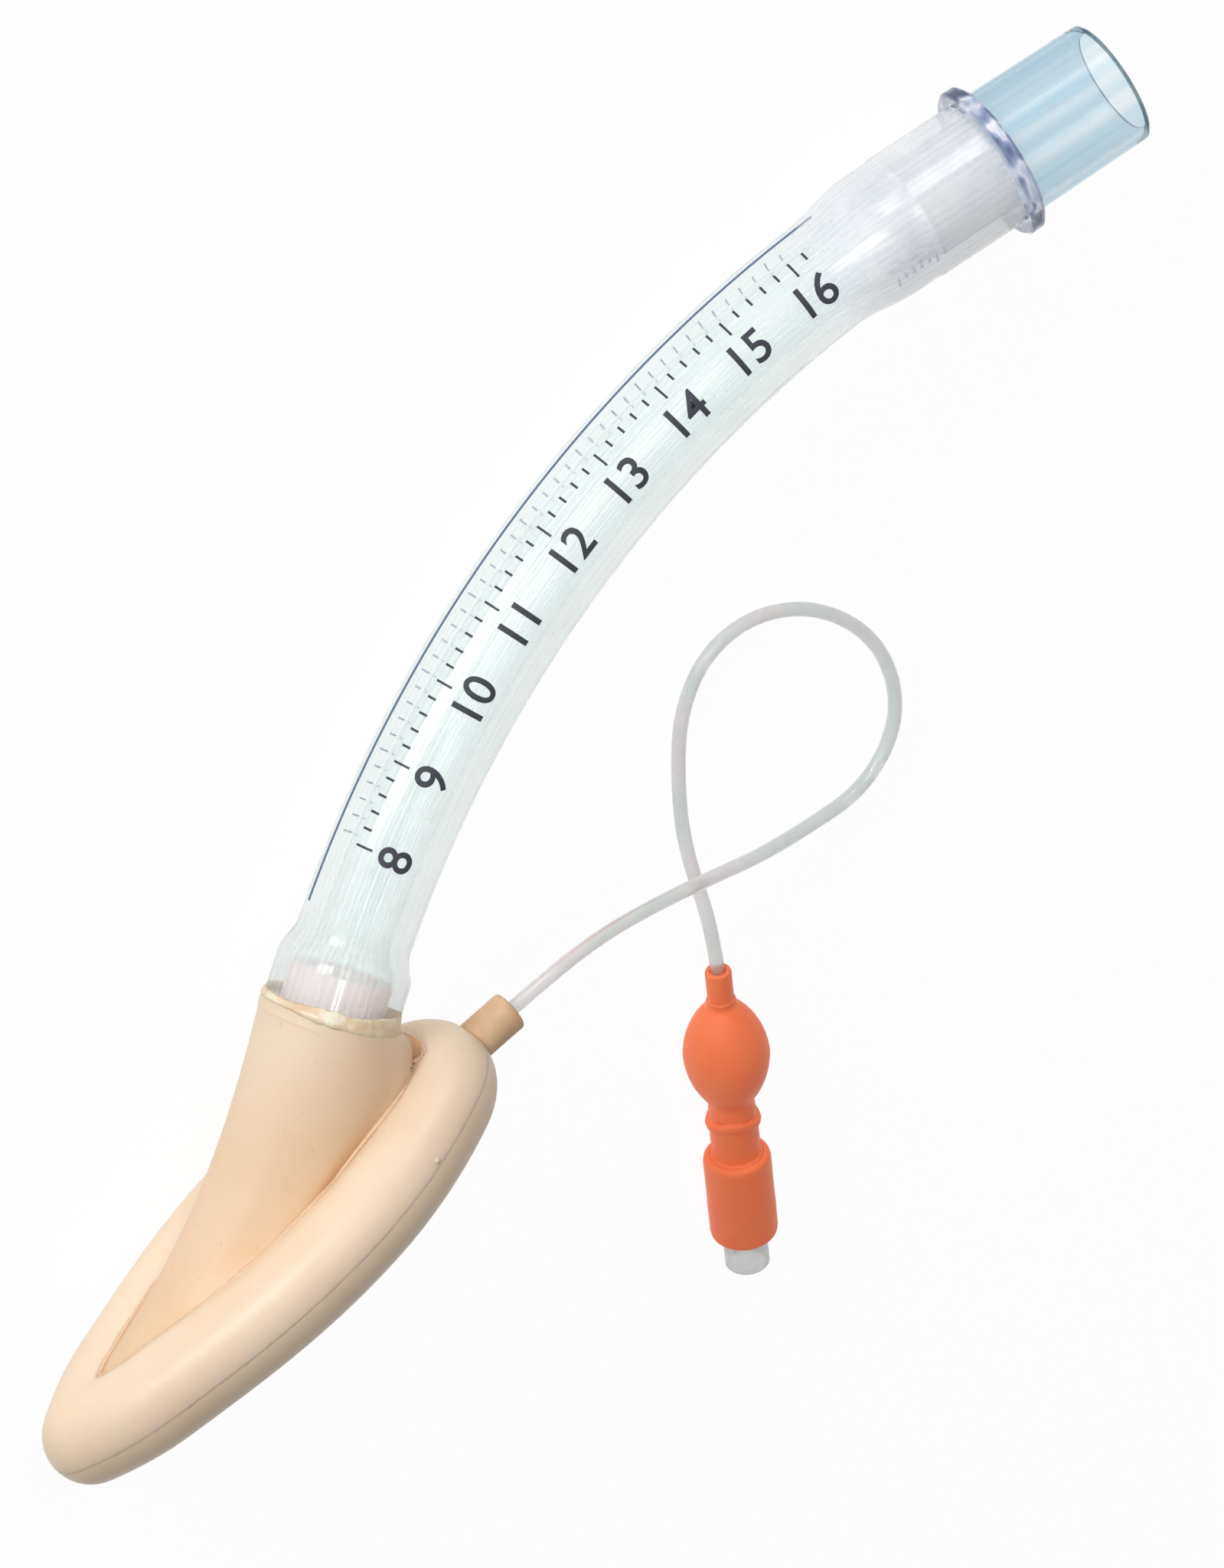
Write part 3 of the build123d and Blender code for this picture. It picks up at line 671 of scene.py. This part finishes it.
def ring_axis():
    """Section centres and outward ways of one side of the ring, from the port round to the tip."""
    angle, tip = radians(HEEL_END), radians(TIP_TURN)
    heel = RING_LENGTH - HEEL_R
    stops = [(heel + HEEL_R * cos(angle), HEEL_R * sin(angle))]
    stops += [(u * RING_LENGTH, v * RING_HALF) for u, v in RING_STOPS]
    ways = [Vector((-sin(angle), cos(angle)))]
    ways += [(Vector(b) - Vector(a)).normalized() for a, b in zip(stops, stops[2:])]
    ways.append(Vector((-cos(tip), -sin(tip))))
    out = []
    for k in range(10, HEEL_END + 1, 2):
        c, d = cos(radians(k)), sin(radians(k))
        out.append(((heel + HEEL_R * c, HEEL_R * d), (c, d)))
    for a, b, da, db in zip(stops, stops[1:], ways, ways[1:]):
        a, b = Vector(a), Vector(b)
        reach = (b - a).length
        for k in range(1, STOP_STEPS + 1):
            u = k / STOP_STEPS
            at = (a * (2 * u ** 3 - 3 * u * u + 1) + da * reach * (u ** 3 - 2 * u * u + u)
                  + b * (3 * u * u - 2 * u ** 3) + db * reach * (u ** 3 - u * u))
            way = da.lerp(db, u).normalized()
            out.append(((at.x, at.y), (way.y, -way.x)))
    for k in range(90 + TIP_TURN + TURN_STEP, 181, TURN_STEP):
        out.append(((0.0, 0.0), (cos(radians(k)), sin(radians(k)))))
    return out


def ring_round(reach):
    """Points this far outward of the section centres, down one side of the ring and up the other."""
    side = [(x + u * reach, y + v * reach, 0.0) for (x, y), (u, v) in ring_axis()]
    return side + [(x, -y, z) for x, y, z in reversed(side[:-1])]


CUFF_WELD = 0.000002
CUFF_VOXEL = 0.00045
CUFF_SMOOTHINGS = 6
CUFF_LIFT = 0.00002
# Scale and height of the uneven swell, in metres
CUFF_SWELLS = ((45.0, 0.00006), (140.0, 0.000015))


def make_cuff():
    """The solid's ring with even faces, softened joins and a slight swell; returns its shape."""
    bm = bmesh.new()
    bm.from_mesh(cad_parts["cuff"].data)
    bmesh.ops.remove_doubles(bm, verts=bm.verts, dist=CUFF_WELD)
    rough = bpy.data.objects.new("cuff_rough", mesh_from("cuff_rough", bm))
    bpy.context.scene.collection.objects.link(rough)
    remesh = rough.modifiers.new("even", "REMESH")
    remesh.mode = "VOXEL"
    remesh.voxel_size = CUFF_VOXEL
    even = settled(rough)
    bm = bmesh.new()
    bm.from_mesh(even)
    for _ in range(CUFF_SMOOTHINGS):
        bmesh.ops.smooth_vert(bm, verts=bm.verts, factor=0.5, use_axis_x=True, use_axis_y=True,
                              use_axis_z=True)
    bm.normal_update()
    for vert in bm.verts:
        swell = sum(noise.noise(vert.co * scale) * height for scale, height in CUFF_SWELLS)
        vert.co += vert.normal * (swell + CUFF_LIFT)
    skin = BVHTree.FromBMesh(bm)
    obj = new_piece("cuff_skin", mesh_from("cuff_skin", bm), FINISHES["cuff"], "cuff")
    return skin


RIDGE_HALF = 0.26
RIDGE_HEIGHT = 0.028
RIDGE_SHAPE = ((-1, -1.2), (-0.5, 0.75), (0, 1), (0.5, 0.75), (1, -1.2))
NIB_AT = (48.8, -14.8, 0.5)
NIB_SHAPE = ((0.42, -0.1), (0.38, 0.03), (0.27, 0.14), (0.13, 0.19), (0.02, 0.2))
NIB_STEPS = 18


def make_parting_line(skin):
    """A fine moulded ridge, and the nib where the mould was filled."""
    bm = bmesh.new()
    rows = []
    up = LAID.to_3x3() @ Vector((0, 0, 1))
    for k, place in enumerate(ring_round(RING_R)):
        at, normal, _, _ = skin.find_nearest(laid(*place))
        wave = 0.6 + 0.4 * noise.noise(Vector((k * 0.31, 4.0, 1.0)))
        rows.append([at + up * (a * RIDGE_HALF * MM) + normal * (b * RIDGE_HEIGHT * wave * MM)
                     for a, b in RIDGE_SHAPE])
    rings(bm, rows, True, True)
    at, normal, _, _ = skin.find_nearest(laid(*NIB_AT))
    side = normal.orthogonal().normalized()
    over = normal.cross(side)
    nib = [hoop(at + normal * (h * MM), side, over, r * MM, NIB_STEPS) for r, h in NIB_SHAPE]
    rings(bm, nib, True, True)
    piece_from("cuff_parting_line", bm, FINISHES["cuff"])


SEAM_STEPS = 10
SEAM_SEARCH = 64
SEAM_TOUCH = 0.35
SEAM_WIDEST = 2.2


def make_seam():
    """The bonded crease where the cuff meets the bowl's back."""
    bm = bmesh.new()
    bm.from_mesh(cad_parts["mask_bowl"].data)
    bowl = BVHTree.FromBMesh(bm)
    bm.free()
    bm = bmesh.new()
    for mirror in (1, -1):
        path = []
        for (x, y), (u, v) in ring_axis():
            near = None
            for step in range(SEAM_SEARCH):
                lean = radians(86 + 1.5 * step)
                reach, height = RING_R * cos(lean), RING_R * sin(lean)
                at = laid(x + u * reach, (y + v * reach) * mirror, height)
                other = bowl.find_nearest(at)[0]
                gap = (other - at).length / MM
                if near is None or gap < near[0]:
                    near = gap, (at + other) / 2
                if gap < SEAM_TOUCH:
                    break
            if near[0] < SEAM_WIDEST:
                path.append(near)
        rows = []
        for k in range(1, len(path) - 1):
            way = (path[k + 1][1] - path[k - 1][1]).normalized()
            side = way.orthogonal().normalized()
            over = way.cross(side)
            thick = (0.16 + 0.55 * path[k][0] + 0.06 * noise.noise(Vector((k * 0.4, mirror, 2.2)))) * MM
            rows.append(hoop(path[k][1], side, over, thick, SEAM_STEPS))
        rings(bm, rows, True, True)
    piece_from("cuff_seam", bm, SEAM)


make_parting_line(make_cuff())
make_seam()


# Inflation port: a moulded stub with a rounded lip and a flash line

PORT_R = 2.45
PORT_REACH = 10.8
PORT_START = 4.7
PORT_DROOP = radians(5.4)
PORT_SOCKET = 3.0
PORT_STEPS = 96


def make_port():
    """The stub, hollow where the line goes in."""
    way = Vector((cos(PORT_DROOP), 0, -sin(PORT_DROOP)))
    over = Vector((sin(PORT_DROOP), 0, cos(PORT_DROOP)))
    hole = LINE_OD / 2
    profile = [(PORT_START, CLOSED_R), (PORT_START, PORT_R), (6.2, PORT_R), (8.0, PORT_R - 0.02),
               (PORT_REACH - 0.75, PORT_R)]
    profile += corner(PORT_REACH, PORT_R, 8.0, PORT_R, PORT_REACH, hole, 0.6, 7)
    profile += corner(PORT_REACH, hole, PORT_REACH, PORT_R, 8.0, hole, 0.2)
    profile += [(PORT_REACH - PORT_SOCKET, hole), (PORT_REACH - PORT_SOCKET, CLOSED_R)]
    bm = bmesh.new()
    rows = []
    for t, r in profile:
        row = []
        for k in range(PORT_STEPS):
            turn = 2 * pi * k / PORT_STEPS
            c, d = cos(turn), sin(turn)
            flash = ridge(d * r, 0.07, 0.12) if r > 1.5 else 0.0
            out = r + flash + 0.015 * noise.noise(Vector((t, c * 2, d * 2)))
            at = Vector((RING_LENGTH, 0, 0)) + way * t + over * (out * c) + Vector((0, out * d, 0))
            row.append(laid(*at))
        rows.append(row)
    rings(bm, rows, True, True)
    piece_from("port_stub", bm, FINISHES["inflation_port"], "inflation_port")


make_port()


# Adhesive bead: uneven, squeezed out round the tube's end

BEAD_THIN_SIDE = radians(29)
BEAD_R = 7.9
BEAD_STEPS = 220


def make_bead():
    """A closed band whose width and height wander, wider on the ventral side."""
    bm = bmesh.new()
    rows = []
    for k in range(BEAD_STEPS):
        turn = 2 * pi * k / BEAD_STEPS
        c, d = cos(turn), sin(turn)
        wide = noise.noise(Vector((c * 1.5, d * 1.5, 0.3)))
        fine = noise.noise(Vector((c * 7.0, d * 7.0, 3.1)))
        tiny = noise.noise(Vector((c * 22.0, d * 22.0, 6.4)))
        ventral = (1 - cos(turn - BEAD_THIN_SIDE)) / 2
        top = 0.75 + 0.95 * ventral + (0.15 + 0.35 * ventral) * wide + 0.16 * fine + 0.10 * tiny
        low = -0.25 - 0.55 * ventral - 0.22 * wide - 0.18 * fine - 0.08 * tiny
        high = 0.10 + 0.10 * ventral + 0.07 * fine + 0.06 * tiny
        shape = [(low, -0.05), (low - 0.02, 0.33), (low + 0.2, 0.33 + high * 0.7), (0.1, 0.30 + high),
                 (0.4, 0.20 + high * 0.8), (0.62, 0.12 + high * 0.6), (top - 0.15, 0.04 + high * 0.3),
                 (top, 0.02), (top - 0.05, -0.05)]
        rows.append([on_tube(s, turn, BEAD_R + h) for s, h in shape])
    rings(bm, rows, loop=True)
    piece_from("joint_bead", bm, FINISHES["adhesive_bead"], "adhesive_bead")


make_bead()


# Print on the tube: reference line, scale ticks and plain numbers

PRINT_TURN = radians(-62)
FAR_TURN = radians(78)
END_TURN = radians(-118)
PRINT_LIFT = 0.03
PRINT_R = TUBE_OD / 2 + PRINT_LIFT
FIRST_MARK = 19.5
MARK_PITCH = 10
TICK_PITCH = 2.0
TICKS_ALONG = 42
FIRST_NUMBER = 8
NUMBER_COUNT = 9
NUMBER_SIZE = 5.6
NUMBER_RISE = -3.1
NUMBER_WEIGHT = 0.012
FIRST_CUT = 0.3
NEXT_CUT = 0.35


def wrap(mesh, turn):
    """Lay a flat mesh, drawn in mm along X and up Y, on the tube's outer side."""
    for vert in mesh.vertices:
        x, y, z = vert.co
        vert.co = on_tube(x, turn + y / (TUBE_OD / 2), PRINT_R + z)


def tick_tree():
    """Geometry nodes: a row of ticks, each fifth one longer."""
    tree = bpy.data.node_groups.new("scale_ticks", "GeometryNodeTree")
    tree.interface.new_socket("Geometry", in_out="OUTPUT", socket_type="NodeSocketGeometry")
    keys = {}
    for name, kind in (("Count", "Int"), ("Pitch", "Float"), ("Width", "Float"), ("Length", "Float"),
                       ("Long", "Float"), ("Ink", "Material")):
        socket = tree.interface.new_socket(name, in_out="INPUT", socket_type="NodeSocket" + kind)
        keys[name] = socket.identifier
    nodes, links = tree.nodes, tree.links

    def put(kind, sockets, **settings):
        node = nodes.new(kind)
        for key, value in settings.items():
            setattr(node, key, value)
        for key, value in sockets.items():
            if hasattr(value, "is_output"):
                links.new(value, node.inputs[key])
            else:
                node.inputs[key].default_value = value
        return node

    def sum_of(operation, a, b):
        return put("ShaderNodeMath", {0: a, 1: b}, operation=operation)

    given = nodes.new("NodeGroupInput").outputs
    step = put("ShaderNodeCombineXYZ", {0: given["Pitch"]})
    row = put("GeometryNodeMeshLine", {"Count": given["Count"], "Offset": step.outputs[0]})
    size = put("ShaderNodeCombineXYZ", {0: given["Width"], 1: given["Length"], 2: 0.04})
    tick = put("GeometryNodeMeshCube", {"Size": size.outputs[0], "Vertices X": 2, "Vertices Y": 12,
                                        "Vertices Z": 2})
    place = put("GeometryNodeInputIndex", {})
    fifth = sum_of("MODULO", place.outputs[0], 5.0)
    is_long = sum_of("LESS_THAN", fifth.outputs[0], 0.5)
    more = sum_of("MULTIPLY", is_long.outputs[0], given["Long"])
    tall = sum_of("ADD", more.outputs[0], 1.0)
    scale = put("ShaderNodeCombineXYZ", {0: 1.0, 1: tall.outputs[0], 2: 1.0})
    shift = sum_of("MULTIPLY", more.outputs[0], given["Length"])
    half = sum_of("MULTIPLY", shift.outputs[0], -0.5)
    lower = put("ShaderNodeCombineXYZ", {1: half.outputs[0]})
    moved = put("GeometryNodeSetPosition", {"Geometry": row.outputs[0], "Offset": lower.outputs[0]})
    many = put("GeometryNodeInstanceOnPoints", {"Points": moved.outputs[0], "Instance": tick.outputs[0],
                                                "Scale": scale.outputs[0]})
    real = put("GeometryNodeRealizeInstances", {"Geometry": many.outputs[0]})
    inked = put("GeometryNodeSetMaterial", {"Geometry": real.outputs[0], "Material": given["Ink"]})
    links.new(inked.outputs[0], nodes.new("NodeGroupOutput").inputs[0])
    return tree, keys


TICKS, TICK_KEYS = tick_tree()


def make_ticks(name, ink, turn, first, count, pitch, width, length, more, rise=0.0):
    """A scale: each fifth tick is longer by the share called more, and rise moves the row round the tube."""
    obj = bpy.data.objects.new(name + "_flat", bpy.data.meshes.new(name + "_flat"))
    bpy.context.scene.collection.objects.link(obj)
    modifier = obj.modifiers.new("ticks", "NODES")
    modifier.node_group = TICKS
    values = {"Count": count, "Pitch": pitch, "Width": width, "Length": length, "Long": more, "Ink": ink}
    for key, value in values.items():
        modifier[TICK_KEYS[key]] = value
    mesh = settled(obj)
    mesh.transform(Matrix.Translation((first, rise, 0)))
    wrap(mesh, turn)
    new_piece(name, mesh, ink)


def make_number(text, s, rise, size):
    """A number whose foot is towards the ventral side, cut fine enough to follow the tube."""
    data = bpy.data.curves.new("number_" + text, "FONT")
    data.body = text
    data.size = size
    data.align_x = "CENTER"
    data.offset = size * NUMBER_WEIGHT
    data.resolution_u = 6
    obj = bpy.data.objects.new("number_flat", data)
    bpy.context.scene.collection.objects.link(obj)
    mesh = settled(obj)
    bm = bmesh.new()
    bm.from_mesh(mesh)
    low = min(v.co.y for v in bm.verts)
    high = max(v.co.y for v in bm.verts)
    cut = low + FIRST_CUT
    while cut < high:
        bmesh.ops.bisect_plane(bm, geom=bm.verts[:] + bm.edges[:] + bm.faces[:], plane_co=(0, cut, 0),
                               plane_no=(0, 1, 0))
        cut += NEXT_CUT
    bmesh.ops.triangulate(bm, faces=bm.faces)
    bmesh.ops.translate(bm, verts=bm.verts, vec=(s, rise, 0))
    return bm


def make_numbers():
    whole = bmesh.new()
    for k in range(NUMBER_COUNT):
        bm = make_number(str(FIRST_NUMBER + k), FIRST_MARK + MARK_PITCH * k, NUMBER_RISE, NUMBER_SIZE)
        part = bpy.data.meshes.new("number")
        bm.to_mesh(part)
        bm.free()
        whole.from_mesh(part)
    mesh = mesh_from("tube_numbers", whole, False)
    wrap(mesh, PRINT_TURN)
    new_piece("tube_numbers", mesh, INK)


REFERENCE_SPAN = (11.5, 105.5)
REFERENCE_HALF = 0.27
REFERENCE_STEPS = 120


def make_reference_line():
    """A printed line down the tube's back, drifting a little round it."""
    bm = bmesh.new()
    rows = []
    first, last = REFERENCE_SPAN
    half = REFERENCE_HALF / (TUBE_OD / 2)
    low, high = TUBE_OD / 2 - 0.02, PRINT_R
    for k in range(REFERENCE_STEPS + 1):
        s = first + (last - first) * k / REFERENCE_STEPS
        turn = radians(8 - 3 * k / REFERENCE_STEPS)
        shape = ((-half, low), (-half, high), (0.0, high + 0.005), (half, high), (half, low))
        rows.append([on_tube(s, turn + side, radius) for side, radius in shape])
    rings(bm, rows, True, True)
    piece_from("reference_line", bm, LINE_INK, smooth=False)


make_ticks("tube_scale", INK, PRINT_TURN, FIRST_MARK, TICKS_ALONG, TICK_PITCH, 0.28, 1.1, 0.9, 3.2)
make_ticks("far_scale", FAR_INK, FAR_TURN, FIRST_MARK, TICKS_ALONG, TICK_PITCH, 0.22, 0.9, 0.4)
make_ticks("end_scale", FAR_INK, END_TURN, 109.0, 7, 1.1, 0.3, 1.2, 0.5)
make_numbers()
make_reference_line()


# Floor and light

# Share of the floor's brightness that is its own glow: as the picture sees it, and as it lights the object
FLOOR_GLOW = 0.93
FLOOR_BOUNCE = 0.42
FLOOR_STRENGTH = 1.03
FLOOR_HALF = 6.0
FLOOR_DROP = 0.0002
SEEN_RAYS = ("Is Camera Ray", "Is Glossy Ray", "Is Transmission Ray")
WORLD_LIGHTING = 0.20
WORLD_SEEN = 1.0
LAMP_AIM = (-0.02, -0.02, 0.01)
LAMP_DISTANCE = 0.7
# Name, way it hangs in, size in metres, power in watts
LAMPS = (
    ("key", (-0.25, 0.95, 0.18), 0.30, 2.2),
    ("top", (0.62, 0.75, 0.20), 0.30, 0.9),
    ("high", (0.05, 0.70, 0.71), 0.30, 0.75),
    ("glint", (-0.365, 0.583, 0.726), 0.05, 0.22),
)


def lay_floor():
    """A pale floor that keeps the object's shadow."""
    bm = bmesh.new()
    bmesh.ops.create_grid(bm, x_segments=1, y_segments=1, size=FLOOR_HALF)
    bmesh.ops.translate(bm, verts=bm.verts, vec=(0, 0, -FLOOR_DROP))
    floor = bpy.data.objects.new("floor", mesh_from("floor", bm, False))
    bpy.context.scene.collection.objects.link(floor)
    f = Finish("pale_floor")
    matt = f.skin(Base_Color=(0.8, 0.8, 0.8), Roughness=0.9)
    glow = f.add("ShaderNodeEmission", {}, {"Color": (1.0, 1.0, 1.0), "Strength": FLOOR_STRENGTH})
    camera, glossy, through = [f.add("ShaderNodeLightPath", {}, {}, key) for key in SEEN_RAYS]
    seen = (camera + glossy + through).least(1.0)
    share = seen * (FLOOR_GLOW - FLOOR_BOUNCE) + FLOOR_BOUNCE
    floor.data.materials.append(f.show(f.layer(share, matt, glow)))


def hang_lamp(name, back, size, power):
    """A round lamp that faces the object."""
    data = bpy.data.lights.new(name, "AREA")
    data.shape = "DISK"
    data.size = size
    data.energy = power
    back = Vector(back).normalized()
    turn = back.to_track_quat("Z", "Y").to_matrix().to_4x4()
    lamp = bpy.data.objects.new(name, data)
    lamp.matrix_world = Matrix.Translation(Vector(LAMP_AIM) + back * LAMP_DISTANCE) @ turn
    bpy.context.scene.collection.objects.link(lamp)


def light_scene():
    """A white world that is seen at full strength but lights the object much less, and four lamps."""
    scene = bpy.context.scene
    scene.view_settings.view_transform = "Standard"
    world = bpy.data.worlds.new("studio")
    scene.world = world
    world.use_nodes = True
    nodes, links = world.node_tree.nodes, world.node_tree.links
    path = nodes.new("ShaderNodeLightPath")
    total = path.outputs[SEEN_RAYS[0]]
    for key in SEEN_RAYS[1:]:
        plus = nodes.new("ShaderNodeMath")
        links.new(total, plus.inputs[0])
        links.new(path.outputs[key], plus.inputs[1])
        total = plus.outputs[0]
    strength = nodes.new("ShaderNodeMapRange")
    links.new(total, strength.inputs[0])
    strength.inputs[3].default_value = WORLD_LIGHTING
    strength.inputs[4].default_value = WORLD_SEEN
    nodes["Background"].inputs["Color"].default_value = (1, 1, 1, 1)
    links.new(strength.outputs[0], nodes["Background"].inputs["Strength"])
    for lamp in LAMPS:
        hang_lamp(*lamp)


lay_floor()
light_scene()
